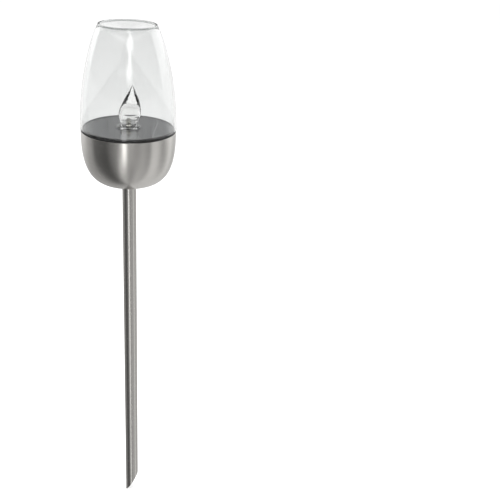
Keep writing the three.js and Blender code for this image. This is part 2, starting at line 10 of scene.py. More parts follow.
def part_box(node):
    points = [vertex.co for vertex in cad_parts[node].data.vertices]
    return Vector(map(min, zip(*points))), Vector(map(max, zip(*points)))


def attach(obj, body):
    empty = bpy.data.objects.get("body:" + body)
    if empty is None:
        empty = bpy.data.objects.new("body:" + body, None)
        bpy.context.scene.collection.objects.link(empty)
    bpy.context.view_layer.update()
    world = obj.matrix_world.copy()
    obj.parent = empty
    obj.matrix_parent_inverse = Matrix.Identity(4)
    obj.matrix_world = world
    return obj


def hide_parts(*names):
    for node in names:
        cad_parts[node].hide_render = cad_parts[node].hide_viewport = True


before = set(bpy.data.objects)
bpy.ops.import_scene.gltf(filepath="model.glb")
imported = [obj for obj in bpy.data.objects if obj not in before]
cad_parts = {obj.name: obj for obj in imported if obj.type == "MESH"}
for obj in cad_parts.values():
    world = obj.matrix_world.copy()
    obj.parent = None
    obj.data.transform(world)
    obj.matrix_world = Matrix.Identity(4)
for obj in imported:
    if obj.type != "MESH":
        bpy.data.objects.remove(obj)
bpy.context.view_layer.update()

MM = 0.001
AROUND = 128  # steps in a turned piece
GAP = 0.3 * MM  # between pieces that touch
WELD = 0.002 * MM  # points closer than this are one
SCREW_HOLE = 2.3 * MM  # through the bowl and into its spigot


# ---------------------------------------------------------------- places, from the frame


def under(node):
    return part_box(node)[0][2]


def over(node):
    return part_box(node)[1][2]


def radius_of(node):
    low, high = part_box(node)
    return (high[0] - low[0]) / 2


def middle_of(node):
    low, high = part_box(node)
    return Vector([(a + b) / 2 for a, b in zip(low, high)])


RIM = over("steel_bowl")
TORCH_TOP = over("glass_shade")
STAKE_RADIUS = radius_of("stake_tube")
BOWL_RADIUS = radius_of("steel_bowl")
GLASS_RADIUS = radius_of("glass_shade")
PANEL_RADIUS = radius_of("panel_cover")
PANEL_TOP = over("panel_cover")
LENS_TOP = over("flame_lens")


# ---------------------------------------------------------------- camera, floor and lights


def camera():
    """In front of the torch and above it, looking down and a little to the right of it."""
    back, height = 0.911, 0.771
    yaw, pitch, roll = (math.radians(angle) for angle in (9.12, 24.09, 3.21))
    data = bpy.data.cameras.new("camera")
    data.sensor_width = 36
    data.lens = 59.16
    eye = bpy.data.objects.new("camera", data)
    turn = Matrix.Rotation(-yaw, 4, "Z") @ Matrix.Rotation(math.pi / 2 - pitch, 4, "X")
    eye.matrix_world = Matrix.Translation((0, -back, height)) @ turn @ Matrix.Rotation(roll, 4, "Z")
    bpy.context.scene.collection.objects.link(eye)
    bpy.context.scene.camera = eye


# The studio's walls as polished things mirror them: for a height, from -1 straight down to 1
# straight up, the brightness at some angles round from the front, in degrees.
LEFT_PANEL = [(-180, 0.5), (-168, 0.55), (-160, 1.8), (-124, 1.8), (-116, 0.4)]
RIGHT_PANEL = [(60, 0.3), (92, 0.4), (100, 1.8), (160, 1.8), (168, 0.55), (180, 0.5)]
WALLS = {
    -0.75: [
        (-180, 0.6), (-130, 0.5), (-100, 0.4), (-84, 0.16), (-58, 0.08), (-46, 0.14), (-34, 0.3),
        (-24, 0.7), (-12, 0.6), (0, 0.4), (14, 0.4), (24, 0.68), (34, 0.6), (50, 0.5), (62, 0.9),
        (100, 0.75), (130, 0.85), (180, 0.75),
    ],
    -0.5: [
        (-180, 0.5), (-132, 0.45), (-104, 0.35), (-90, 0.12), (-56, 0.08), (-46, 0.2), (-30, 0.36),
        (-22, 1.1), (-12, 1.1), (-4, 0.45), (14, 0.42), (22, 0.45), (34, 0.6), (52, 0.4),
        (61, 0.92), (76, 0.85), (90, 0.5), (104, 0.55), (120, 0.95), (144, 0.6), (180, 0.85),
    ],
    -0.3: [
        (-180, 0.75), (-132, 0.7), (-104, 0.5), (-90, 0.12), (-56, 0.08), (-46, 0.22), (-24, 0.4),
        (-17, 0.7), (-14, 3.4), (-8, 3.4), (-3, 0.5), (14, 0.46), (22, 0.4), (34, 0.6), (52, 0.36),
        (61, 0.95), (76, 0.85), (90, 0.42), (104, 0.48), (120, 0.95), (144, 0.5), (180, 0.95),
    ],
    0.1: [*LEFT_PANEL, (-60, 0.25), *RIGHT_PANEL],
    0.22: [*LEFT_PANEL, (-60, 0.25), (-8, 0.3), (0, 4.6), (6, 4.6), (14, 0.3), *RIGHT_PANEL],
    0.36: [*LEFT_PANEL, (-60, 0.25), (0, 0.3), (2, 4.6), (7, 4.6), (11, 0.3), *RIGHT_PANEL],
    0.48: [*LEFT_PANEL, (-60, 0.3), (-8, 0.35), (0, 4.6), (14, 4.6), (22, 0.3), *RIGHT_PANEL],
    0.53: [
        (-180, 0.8), (-168, 0.9), (-160, 1.8), (-116, 1.5), (-60, 1.5), (-4, 1.5), (2, 4.6),
        (14, 4.6), (22, 0.9), (60, 0.9), (100, 1.8), (160, 1.8), (168, 0.9), (180, 0.8),
    ],
    0.6: [*LEFT_PANEL, (-60, 0.25), (2, 0.3), (6, 4.2), (12, 4.2), (16, 0.3), *RIGHT_PANEL],
    0.8: [*LEFT_PANEL, (-60, 0.25), *RIGHT_PANEL],
}
ROOM = 1.06  # the white room's brightness, for all but mirror images
CLEAR_SURFACES = 4.5  # light that has passed through more of them sees the white room too


def ramp_of(world, stops):
    """The brightness round one height of the walls."""
    ramp = add(world, "ShaderNodeValToRGB")
    marks = ramp.color_ramp.elements
    marks.remove(marks[0])
    for number, (degrees, brightness) in enumerate(stops):
        place = degrees / 360 + 0.5
        mark = marks[0] if number == 0 else marks.new(place)
        mark.position = place
        mark.color = (brightness, brightness, brightness, 1)
    return ramp


def studio_walls():
    """Mirror images see the pale and dark walls, and everything else sees a white room."""
    world = bpy.data.worlds.new("studio")
    world.use_nodes = True
    world.cycles.sampling_method = "NONE"
    bpy.context.scene.world = world
    place = add(world, "ShaderNodeTexCoord")
    split = add(world, "ShaderNodeSeparateXYZ")
    join(world, place.outputs["Generated"], split.inputs[0])
    front = worked_out(world, "MULTIPLY", split.outputs["Y"], -1.0)
    angle = worked_out(world, "ARCTAN2", split.outputs["X"], front)
    share = spread(world, angle, 0.0, 1.0, -math.pi, math.pi)
    brightness, lower = None, 0.0
    for height, stops in WALLS.items():
        ramp = ramp_of(world, stops)
        join(world, share, ramp.inputs[0])
        here = ramp.outputs["Color"]
        if brightness is not None:
            climb = spread(world, split.outputs["Z"], 0.0, 1.0, lower, height)
            here = mixed(world, climb, brightness, here)
        brightness, lower = here, height
    ray = add(world, "ShaderNodeLightPath").outputs
    turned_back = worked_out(world, "MINIMUM", ray["Glossy Depth"], 1.0)
    mirrored = worked_out(world, "MULTIPLY", ray["Is Glossy Ray"], turned_back)
    shallow = worked_out(world, "LESS_THAN", ray["Transmission Depth"], CLEAR_SURFACES)
    white = add(world, "ShaderNodeRGB").outputs[0]
    white.default_value = (ROOM, ROOM, ROOM, 1)
    seen = mixed(world, worked_out(world, "MULTIPLY", mirrored, shallow), white, brightness)
    join(world, seen, world.node_tree.nodes["Background"].inputs["Color"])


def floor():
    """Wide enough that its edge melts into the white room."""
    span, white = 240, 0.96
    bpy.ops.mesh.primitive_plane_add(size=span)
    ground = bpy.context.object
    ground.name = "floor"
    material, _ = finish("floor", (white, white, white), 0.9, Specular_IOR_Level=0)
    ground.data.materials.append(material)
    ground.visible_glossy = False


def softbox(name, place, size, power):
    """A square soft light, turned to the middle of the torch."""
    data = bpy.data.lights.new(name, "AREA")
    data.size = size
    data.energy = power
    lamp = bpy.data.objects.new(name, data)
    aim = Vector((0, 0, RIM)) - Vector(place)
    lamp.matrix_world = Matrix.Translation(place) @ aim.to_track_quat("-Z", "Y").to_matrix().to_4x4()
    lamp.visible_glossy = False
    lamp.visible_transmission = False
    bpy.context.scene.collection.objects.link(lamp)


def studio():
    camera()
    studio_walls()
    floor()
    softbox("key", (-1.2, -1.4, 2.2), 1.2, 34)
    softbox("fill", (1.5, 0.8, 1.9), 1.4, 26)
    bpy.context.scene.view_settings.view_transform = "Standard"


# ---------------------------------------------------------------- finishes


def finish(name, colour, roughness, **settings):
    """A new material and its shader. Settings are the shader's sockets, with _ for a space."""
    material = bpy.data.materials.new(name)
    material.use_nodes = True
    shader = material.node_tree.nodes["Principled BSDF"]
    shader.inputs["Base Color"].default_value = (*colour, 1)
    shader.inputs["Roughness"].default_value = roughness
    for socket, value in settings.items():
        shader.inputs[socket.replace("_", " ")].default_value = value
    return material, shader


def add(material, kind, **settings):
    """A new node, with its inputs' values by name, with _ for a space."""
    node = material.node_tree.nodes.new(kind)
    for socket, value in settings.items():
        node.inputs[socket.replace("_", " ")].default_value = value
    return node


def join(material, source, into):
    """An output is linked to the socket, and a constant is set on it."""
    if isinstance(source, bpy.types.NodeSocket):
        material.node_tree.links.new(source, into)
    else:
        into.default_value = source


def worked_out(material, operation, first, second):
    """The arithmetic that the operation names, on two outputs or an output and a number."""
    node = add(material, "ShaderNodeMath")
    node.operation = operation
    join(material, first, node.inputs[0])
    join(material, second, node.inputs[1])
    return node.outputs[0]


def mixed(material, share, first, second):
    """From the first colour to the second, by a share from 0 to 1."""
    amount, first_colour, second_colour, result = 0, 6, 7, 2  # the node's sockets for colours
    mix = add(material, "ShaderNodeMix")
    mix.data_type = "RGBA"
    join(material, share, mix.inputs[amount])
    join(material, first, mix.inputs[first_colour])
    join(material, second, mix.inputs[second_colour])
    return mix.outputs[result]


def stretched(material, scale):
    """Object coordinates, scaled along each axis."""
    place = add(material, "ShaderNodeTexCoord")
    mapping = add(material, "ShaderNodeMapping", Scale=scale)
    join(material, place.outputs["Object"], mapping.inputs["Vector"])
    return mapping.outputs["Vector"]


def rings(material, around, along):
    """Coordinates for marks that run round the torch's axis, on its side and its bottom alike."""
    place = add(material, "ShaderNodeTexCoord")
    flat = add(material, "ShaderNodeVectorMath")
    flat.operation = "MULTIPLY"
    flat.inputs[1].default_value = (1, 1, 0)
    join(material, place.outputs["Object"], flat.inputs[0])
    reach = add(material, "ShaderNodeVectorMath")
    reach.operation = "LENGTH"
    join(material, flat.outputs["Vector"], reach.inputs[0])
    split = add(material, "ShaderNodeSeparateXYZ")
    join(material, place.outputs["Object"], split.inputs[0])
    path = worked_out(material, "ADD", split.outputs["Z"], reach.outputs["Value"])
    whole = add(material, "ShaderNodeCombineXYZ")
    join(material, split.outputs["X"], whole.inputs["X"])
    join(material, split.outputs["Y"], whole.inputs["Y"])
    join(material, path, whole.inputs["Z"])
    mapping = add(material, "ShaderNodeMapping", Scale=(around, around, along))
    join(material, whole.outputs[0], mapping.inputs["Vector"])
    return mapping.outputs["Vector"]


def noise(material, place, detail=3.0, roughness=0.6):
    cloud = add(material, "ShaderNodeTexNoise", Scale=1.0, Detail=detail, Roughness=roughness)
    join(material, place, cloud.inputs["Vector"])
    return cloud.outputs["Fac"]


def grain(material, scale, detail=3.0):
    """Noise of one size all ways."""
    return noise(material, stretched(material, (scale, scale, scale)), detail)


def spread(material, value, low, high, start=0.25, end=0.75):
    """The value's middle range, spread from low to high."""
    change = add(material, "ShaderNodeMapRange", From_Min=start, From_Max=end, To_Min=low, To_Max=high)
    join(material, value, change.inputs["Value"])
    return change.outputs["Result"]


def blended(material, value, first, second):
    """A colour between two, by a value from 0 to 1."""
    ramp = add(material, "ShaderNodeValToRGB")
    ramp.color_ramp.elements[0].color = (*first, 1)
    ramp.color_ramp.elements[0].position = 0.3
    ramp.color_ramp.elements[1].color = (*second, 1)
    ramp.color_ramp.elements[1].position = 0.7
    join(material, value, ramp.inputs["Fac"])
    return ramp.outputs["Color"]


def tinted(material, shader, value, first, second):
    join(material, blended(material, value, first, second), shader.inputs["Base Color"])


def dulled(material, shader, value, low, high):
    join(material, spread(material, value, low, high), shader.inputs["Roughness"])


def bumped(material, shader, value, height, strength=1.0):
    bump = add(material, "ShaderNodeBump", Strength=strength, Distance=height)
    join(material, value, bump.inputs["Height"])
    join(material, bump.outputs["Normal"], shader.inputs["Normal"])


def brushed_steel(name, around, along, edge, depth):
    """Satin steel with brush marks round the axis, which stretch mirror images along it."""
    material, shader = finish(name, (0.6, 0.585, 0.56), 0.3, Metallic=1.0, Anisotropic=0.8,
                              Anisotropic_Rotation=0.25, Specular_Tint=(edge, edge, edge, 1))
    tangent = add(material, "ShaderNodeTangent")
    tangent.direction_type = "RADIAL"
    tangent.axis = "Z"
    join(material, tangent.outputs["Tangent"], shader.inputs["Tangent"])
    marks = noise(material, rings(material, around, along), 4.0, 0.7)
    tinted(material, shader, marks, (0.56, 0.545, 0.52), (0.63, 0.615, 0.59))
    dulled(material, shader, marks, 0.22, 0.28)
    bumped(material, shader, marks, depth)
    return material


def turned_steel():
    return brushed_steel("turned_steel", around=14, along=2600, edge=1.0, depth=0.0015 * MM)


def tube_steel():
    return brushed_steel("tube_steel", around=8, along=1400, edge=0.35, depth=0.0004 * MM)


def bright_steel():
    """Plated screws and washers, with fine turning marks and a few dull spots."""
    material, shader = finish("bright_steel", (0.62, 0.62, 0.63), 0.28, Metallic=1.0)
    spots = grain(material, 900)
    tinted(material, shader, spots, (0.5, 0.5, 0.51), (0.68, 0.68, 0.69))
    dulled(material, shader, spots, 0.2, 0.4)
    bumped(material, shader, noise(material, rings(material, 60, 6000)), 0.006 * MM)
    return material


def black_plastic():
    """Moulded black plastic with a fine spark-eroded grain."""
    material, shader = finish("black_plastic", (0.012, 0.012, 0.013), 0.42)
    sparks = grain(material, 1700, 5.0)
    tinted(material, shader, grain(material, 70), (0.009, 0.009, 0.01), (0.019, 0.019, 0.02))
    dulled(material, shader, sparks, 0.34, 0.52)
    bumped(material, shader, sparks, 0.02 * MM, 0.7)
    return material


def black_rubber():
    material, shader = finish("black_rubber", (0.01, 0.01, 0.01), 0.75)
    dust = grain(material, 800, 4.0)
    tinted(material, shader, dust, (0.008, 0.008, 0.008), (0.022, 0.022, 0.021))
    dulled(material, shader, dust, 0.6, 0.88)
    bumped(material, shader, dust, 0.03 * MM)
    return material


def clear_glass():
    """Blown glass, with painted shade darkening its melted rim, and faint draw lines that run up its
    side.
    """
    # the rim tone is painted shade: a darker tint that stands for the dark line along the rim's edge
    wall, rim = (0.847, 0.853, 0.85), (0.4, 0.415, 0.41)
    shaded_rim_start, shaded_rim_end = TORCH_TOP - 2.8 * MM, TORCH_TOP - 1.2 * MM
    material, shader = finish("clear_glass", wall, 0.0, IOR=1.5, Transmission_Weight=1)
    place = add(material, "ShaderNodeTexCoord")
    split = add(material, "ShaderNodeSeparateXYZ")
    join(material, place.outputs["Object"], split.inputs[0])
    # painted shade: the tint darkens towards the top of the rim
    share = spread(material, split.outputs["Z"], 0.0, 1.0, shaded_rim_start, shaded_rim_end)
    tinted(material, shader, share, wall, rim)
    lines = noise(material, stretched(material, (130, 130, 7)), 2.0)
    bumped(material, shader, lines, 0.05 * MM, 0.5)
    return material


def clear_acrylic():
    """The flame's moulding, with slight waves in its surface."""
    material, shader = finish("clear_acrylic", (0.985, 0.985, 0.98), 0.0, IOR=1.24,
                              Transmission_Weight=1)
    waves = noise(material, stretched(material, (160, 160, 50)), 2.0)
    bumped(material, shader, waves, 0.12 * MM, 0.6)
    return material


def clear_epoxy():
    """The panel's dark, glossy top, through which the cells just show."""
    material, shader = finish("panel_epoxy", (0.68, 0.69, 0.7), 0.03, IOR=1.45,
                              Transmission_Weight=1)
    ripples = grain(material, 60, 2.0)
    bumped(material, shader, ripples, 0.05 * MM, 0.5)
    dulled(material, shader, ripples, 0.02, 0.09)
    return material


def diode_epoxy():
    """The diode's clear moulding, slightly warm."""
    material, shader = finish("diode_epoxy", (0.97, 0.95, 0.88), 0.02, IOR=1.53,
                              Transmission_Weight=1)
    waves = grain(material, 700, 2.0)
    tinted(material, shader, waves, (0.98, 0.97, 0.92), (0.96, 0.93, 0.82))
    bumped(material, shader, waves, 0.01 * MM, 0.5)
    return material


def dark_laminate():
    material, shader = finish("dark_laminate", (0.011, 0.012, 0.014), 0.45)
    weave = grain(material, 1500)
    tinted(material, shader, weave, (0.008, 0.009, 0.01), (0.02, 0.021, 0.024))
    dulled(material, shader, weave, 0.35, 0.6)
    bumped(material, shader, weave, 0.01 * MM)
    return material


def silicon():
    """Dark cells with fine silver fingers across them, and a soft crystal pattern."""
    material, shader = finish("silicon", (0.012, 0.014, 0.022), 0.28)
    place = add(material, "ShaderNodeTexCoord")
    crystals = add(material, "ShaderNodeTexVoronoi", Scale=260.0)
    join(material, place.outputs["Object"], crystals.inputs["Vector"])
    tone = blended(material, crystals.outputs["Distance"], (0.011, 0.013, 0.021), (0.022, 0.025, 0.037))
    fingers = add(material, "ShaderNodeTexWave", Scale=100.0, Distortion=0.0)
    fingers.bands_direction = "Y"
    join(material, place.outputs["Object"], fingers.inputs["Vector"])
    lines = spread(material, fingers.outputs["Fac"], 0.0, 0.5, 0.965, 0.99)
    silver = (0.2, 0.2, 0.21, 1)
    join(material, mixed(material, lines, tone, silver), shader.inputs["Base Color"])
    return material


def tinned_copper():
    material, shader = finish("tinned_copper", (0.75, 0.75, 0.73), 0.3, Metallic=1.0)
    solder = grain(material, 1200)
    tinted(material, shader, solder, (0.6, 0.6, 0.58), (0.85, 0.84, 0.82))
    dulled(material, shader, solder, 0.2, 0.45)
    bumped(material, shader, solder, 0.02 * MM)
    return material


# ---------------------------------------------------------------- modelling by hand


def deselect():
    if bpy.context.object and bpy.context.object.mode != "OBJECT":
        bpy.ops.object.mode_set(mode="OBJECT")
    bpy.ops.object.select_all(action="DESELECT")


def named(name):
    """The new primitive under its name, open in edit mode."""
    piece = bpy.context.object
    piece.name = name
    piece.data.name = name
    bpy.ops.object.transform_apply(location=True, rotation=True, scale=True)
    bpy.ops.object.mode_set(mode="EDIT")
    return piece


def closed(angle=35):
    """Doubles merged, faces turned out and shading smooth up to an angle. Ends edit mode."""
    bpy.ops.mesh.select_all(action="SELECT")
    bpy.ops.mesh.remove_doubles(threshold=WELD)
    bpy.ops.mesh.normals_make_consistent(inside=False)
    bpy.ops.object.mode_set(mode="OBJECT")
    bpy.ops.object.shade_smooth_by_angle(angle=math.radians(angle))


def apply_modifier(piece, kind, **settings):
    modifier = piece.modifiers.new(kind.lower(), kind)
    for setting, value in settings.items():
        setattr(modifier, setting, value)
    bpy.ops.object.modifier_apply(modifier=modifier.name)


def rounded(piece, width, segments=3, angle=35):
    """The piece's corners rounded over."""
    apply_modifier(piece, "BEVEL", width=width, segments=segments, limit_method="ANGLE",
                   angle_limit=math.radians(angle), use_clamp_overlap=True)
    bpy.ops.object.shade_smooth_by_angle(angle=math.radians(angle))


def turned(name, profile, steps=AROUND):
    """A point is drawn out along the profile of (radius, height), and spun about the torch's axis."""
    deselect()
    bpy.ops.mesh.primitive_plane_add(size=MM)
    piece = named(name)
    bpy.ops.mesh.merge(type="CENTER")
    bpy.ops.transform.translate(value=(profile[0][0], 0, profile[0][1]))
    for (radius, height), (next_radius, next_height) in zip(profile, profile[1:]):
        move = (next_radius - radius, 0, next_height - height)
        bpy.ops.mesh.extrude_vertices_move(TRANSFORM_OT_translate={"value": move})
    bpy.ops.mesh.select_all(action="SELECT")
    bpy.ops.mesh.spin(steps=steps, angle=2 * math.pi, center=(0, 0, 0), axis=(0, 0, 1))
    closed()
    return piece


def looped(profile):
    """A profile that ends where it starts."""
    return [*profile, profile[0]]


def fitted(piece, body, material, slot, *nodes):
    """The piece takes its finish, rides on its body and stands for its nodes."""
    piece.data.materials.clear()
    piece.data.materials.append(material)
    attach(piece, body)
    if nodes:
        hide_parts(*nodes)


# ---------------------------------------------------------------- stake


def stake_tube(material):
    """A thin tube, cut off at a slant with its mouth bridged."""
    wall, mitre, spare = 0.8 * MM, 28 * MM, 6 * MM
    top = over("stake_tube")
    bore = STAKE_RADIUS - wall
    section = [(STAKE_RADIUS, -spare), (STAKE_RADIUS, top), (bore, top), (bore, -spare)]
    piece = turned("stake_tube_fine", looped(section), 96)
    bpy.ops.object.mode_set(mode="EDIT")
    bpy.ops.mesh.select_all(action="SELECT")
    slope = Vector((-mitre / (2 * STAKE_RADIUS), 0, 1)).normalized()
    bpy.ops.mesh.bisect(plane_co=(-STAKE_RADIUS, 0, 0), plane_no=slope, clear_inner=True)
    bpy.ops.mesh.bridge_edge_loops()
    closed()
    rounded(piece, 0.15 * MM, 2)
    fitted(piece, "stake", material, "brushed_steel", "stake_tube")


# ---------------------------------------------------------------- bowl and spigot


def bowl_side(radius, height, hole, bottom, steps=34):
    """From the rim down to the hole: upright at the rim, flat at the bottom."""
    depth_power, crowding = 2.6, 0.9
    end = math.acos((hole / radius) ** 2)
    side = []
    for step in range(steps + 1):
        angle = end * (step / steps) ** crowding
        depth = height * math.sin(angle) ** (2 / depth_power)
        side.append((radius * math.sqrt(math.cos(angle)), bottom + height - depth))
    return side


def steel_bowl(material):
    wall = 0.8 * MM
    bottom = under("steel_bowl")
    height = RIM - bottom
    outside = bowl_side(BOWL_RADIUS, height, SCREW_HOLE, bottom)
    inside = bowl_side(BOWL_RADIUS - wall, height - wall, SCREW_HOLE, bottom + wall)
    inside[0] = (BOWL_RADIUS - wall, RIM)
    piece = turned("steel_bowl_fine", looped([*outside[::-1], *inside]))
    rounded(piece, 0.25 * MM, 3, 50)
    fitted(piece, "head", material, "brushed_steel", "steel_bowl")


def stake_spigot(material):
    """A plug with three grooves and a collar, bored from above for its screw."""
    low, high, collar_radius = under("stake_spigot"), over("stake_spigot"), radius_of("stake_spigot")
    plug, chamfer = 6.9 * MM, 1.5 * MM
    collar, hole_end = high - 1.4 * MM, high - 13 * MM
    groove_radius, half_mouth, half_floor = plug - 0.5 * MM, MM, 0.6 * MM
    side = []
    for share in (0.3, 0.5, 0.7):
        groove = low + (high - low) * share
        side += [(plug, groove - half_mouth), (groove_radius, groove - half_floor),
                 (groove_radius, groove + half_floor), (plug, groove + half_mouth)]
    profile = [(0, low), (plug - chamfer, low), (plug, low + chamfer), *side, (plug, collar),
               (collar_radius, collar), (collar_radius, high),
               (SCREW_HOLE, high), (SCREW_HOLE, hole_end), (0, hole_end)]
    piece = turned("stake_spigot_fine", profile, 64)
    rounded(piece, 0.2 * MM, 2)
    fitted(piece, "head", material, "black_plastic", "stake_spigot")


# ---------------------------------------------------------------- glass shade and gasket


def glass_shade(material):
    """An open tulip of even thickness with a melted rim."""
    wall, mouth, bead, power = 2 * MM, 31.7 * MM, 1.35 * MM, 1.85
    foot = under("glass_shade")
    height = TORCH_TOP - foot
    reach = (1 - (mouth / GLASS_RADIUS) ** 2) ** (1 / power)

    def outer(rise):
        return GLASS_RADIUS * math.sqrt(1 - (reach * rise / height) ** power)

    steps = 48
    arc_start, arc_sweep, arc_steps = -15, 210, 12
    neck = height - 2 * bead
    rises = [neck * step / steps for step in range(steps + 1)]
    outside = [(outer(rise), foot + rise) for rise in rises]
    inside = [(outer(rise) - wall, foot + rise) for rise in rises][::-1]
    centre = outer(height - bead) - bead
    rim = []
    for step in range(arc_steps + 1):
        angle = math.radians(arc_start + arc_sweep * step / arc_steps)
        rim.append((centre + bead * math.cos(angle), TORCH_TOP - bead + bead * math.sin(angle)))
    piece = turned("glass_shade_fine", looped([*outside[:-1], *rim, *inside[1:]]), 160)
    rounded(piece, 0.35 * MM, 3)
    fitted(piece, "shade", material, "clear_glass", "glass_shade")


def flat_ring(node, hole, corner, segments=3, steps=AROUND):
    """A ring or disc of square section for the node, with its corners rounded."""
    low, high, outer = under(node), over(node), radius_of(node)
    section = [(hole, low), (outer, low), (outer, high), (hole, high)]
    piece = turned(f"{node}_fine", looped(section), steps)
    rounded(piece, corner, segments)
    return piece


def glass_gasket(material):
    hole = radius_of("glass_gasket") - 2.2 * MM
    piece = flat_ring("glass_gasket", hole, 0.2 * MM)
    fitted(piece, "shade", material, "black_rubber", "glass_gasket")


# ---------------------------------------------------------------- carrier and panel


def pegs(piece, operation, radius, places, low, high):
    """Round pegs that are added to the piece, or holes that are cut out of it."""
    for place in places:
        deselect()
        bpy.ops.mesh.primitive_cylinder_add(vertices=32, radius=radius, depth=high - low,
                                            location=(place[0], place[1], (low + high) / 2))
        peg = bpy.context.object
        deselect()
        bpy.context.view_layer.objects.active = piece
        piece.select_set(True)
        apply_modifier(piece, "BOOLEAN", operation=operation, object=peg, solver="EXACT")
        bpy.data.objects.remove(peg)


def panel_carrier(material):
    """The moulded plate: a tray for the panel, a flange on the bowl and a skirt inside it."""
    floor_top = under("panel_board") - GAP
    floor_under = floor_top - 2 * MM
    flange_radius, flange_top = radius_of("panel_carrier"), RIM + 1.1 * MM
    skirt, skirt_inside, skirt_end = 52.1 * MM, 49.9 * MM, RIM - 12 * MM
    groove = 50.9 * MM
    plateau = 51.3 * MM
    tray = PANEL_RADIUS + GAP
    boss, hole = 8.2 * MM, 2 * MM
    seal_low, seal_high = under("bowl_seal") - GAP, over("bowl_seal") + GAP
    profile = [
        (hole, floor_under), (skirt_inside, floor_under), (skirt_inside, skirt_end),
        (skirt, skirt_end), (skirt, seal_low), (groove, seal_low),
        (groove, seal_high), (skirt, seal_high), (skirt, RIM + GAP),
        (flange_radius, RIM + GAP), (flange_radius, flange_top), (plateau, flange_top),
        (plateau, PANEL_TOP), (tray, PANEL_TOP), (tray, floor_top), (boss, floor_top),
        (boss, over("panel_carrier")), (hole, over("panel_carrier")),
    ]
    piece = turned("panel_carrier_fine", looped(profile), 160)
    rounded(piece, 0.2 * MM, 2)
    places = [middle_of(f"housing_screw_{number}") for number in (1, 2, 3)]
    post_end = over("battery_housing") + GAP
    post, screw_hole, wire_hole = 3.2 * MM, 1.6 * MM, 1.4 * MM
    pegs(piece, "UNION", post, places, post_end, floor_under + MM)
    pegs(piece, "DIFFERENCE", screw_hole, places, post_end - MM, floor_under - 0.5 * MM)
    wires = [Vector((side * 3.5 * MM, 24 * MM)) for side in (-1, 1)]
    pegs(piece, "DIFFERENCE", wire_hole, wires, floor_under - MM, floor_top + MM)
    bpy.ops.object.shade_smooth_by_angle(angle=math.radians(35))
    fitted(piece, "lamp", material, "black_plastic", "panel_carrier")


def bowl_seal(material):
    hole = radius_of("bowl_seal") - 1.2 * MM
    piece = flat_ring("bowl_seal", hole, 0.4 * MM)
    fitted(piece, "lamp", material, "black_rubber", "bowl_seal")


def solar_panel(cover, laminate):
    """A board and its clear top, with a hole for the flame's foot."""
    hole, corner = 10.4 * MM, 0.15 * MM
    board = flat_ring("panel_board", hole, corner, 2, 160)
    fitted(board, "lamp", laminate, "dark_laminate", "panel_board")
    top = flat_ring("panel_cover", hole, corner, 2, 160)
    fitted(top, "lamp", cover, "clear_epoxy", "panel_cover")


def solder_dots(material):
    """Beads of solder on the cells, where the ribbon starts and on the far side."""
    bottom = over("solar_cell_1") + 0.05 * MM
    dome = [(0, 0), (0.9, 0), (0.86, 0.15), (0.65, 0.32), (0.35, 0.42), (0, 0.45)]
    first = turned("solder_dot_1", [(radius * MM, bottom + rise * MM) for radius, rise in dome], 20)
    clean = first.data.copy()
    places = [(-40.5, 23), (-34, 23), (33.5, 23.5)]
    for number, (x, y) in enumerate(places, 1):
        dot = first
        if number > 1:
            dot = first.copy()
            dot.data = clean.copy()
            dot.name = f"solder_dot_{number}"
            bpy.context.scene.collection.objects.link(dot)
        dot.data.transform(Matrix.Translation((x * MM, y * MM, 0)))
        fitted(dot, "lamp", material, "tinned_copper")


# ---------------------------------------------------------------- flame lens and diode


def lean(height):
    """How far to one side the flame's middle is, at a height above the bowl's rim."""
    neck, swing, bow, bow_height = 5.2 * MM, 3.9 * MM, 0.6 * MM, 10 * MM
    rise = smooth((height - neck) / (LENS_TOP - RIM - neck))
    return bow * smooth((height - neck) / bow_height) + swing * rise


def flame_rings():
    """From the cavity's roof to the tip, in millimetres: radius, height over the rim, crease."""
    inside = [
        (0.25, 29.0), (4.5, 28.8), (7.0, 27.6), (8.6, 25.2), (9.4, 21.5), (9.7, 17.5),
        (9.4, 13.0), (8.7, 9.0), (8.5, 6.0),
    ]
    foot = (under("flame_lens") - RIM) / MM
    collar = [
        (8.5, foot, 1), (10.1, foot, 1), (10.1, 3.8, 1), (13.6, 3.8, 1), (13.6, 4.6, 0.6),
        (12.9, 5.2, 0.6), (9.6, 5.3, 0.5),
    ]
    outside = [
        (8.9, 6.6), (9.6, 9.0), (11.0, 12.4), (11.8, 16.5), (12.0, 19.0), (11.1, 24.0),
        (9.3, 29.6), (7.1, 35.4), (4.5, 41.0), (2.3, 46.0), (0.9, 49.4),
    ]
    return [(*ring, 0) for ring in inside] + collar + [(*ring, 0) for ring in outside]


def ridged(piece):
    """Four ridges that grow towards the tip, and room for what the rounding takes away."""
    sides, swell = 4, 1.035
    start, growth, end = 0.12, 0.03, 0.2
    mesh = bmesh.from_edit_mesh(piece.data)
    for vertex in mesh.verts:
        height = vertex.co.z - RIM
        rise = smooth((height / (LENS_TOP - RIM) - start) / (1 - start))
        centre = lean(height)
        across = vertex.co.x - centre
        ridge = max(0, math.cos(sides * math.atan2(vertex.co.y, across))) * (rise > 0)
        outward = (1 + (growth + end * rise) * ridge) * swell
        vertex.co.x = centre + across * outward
        vertex.co.y *= outward
    bmesh.update_edit_mesh(piece.data)


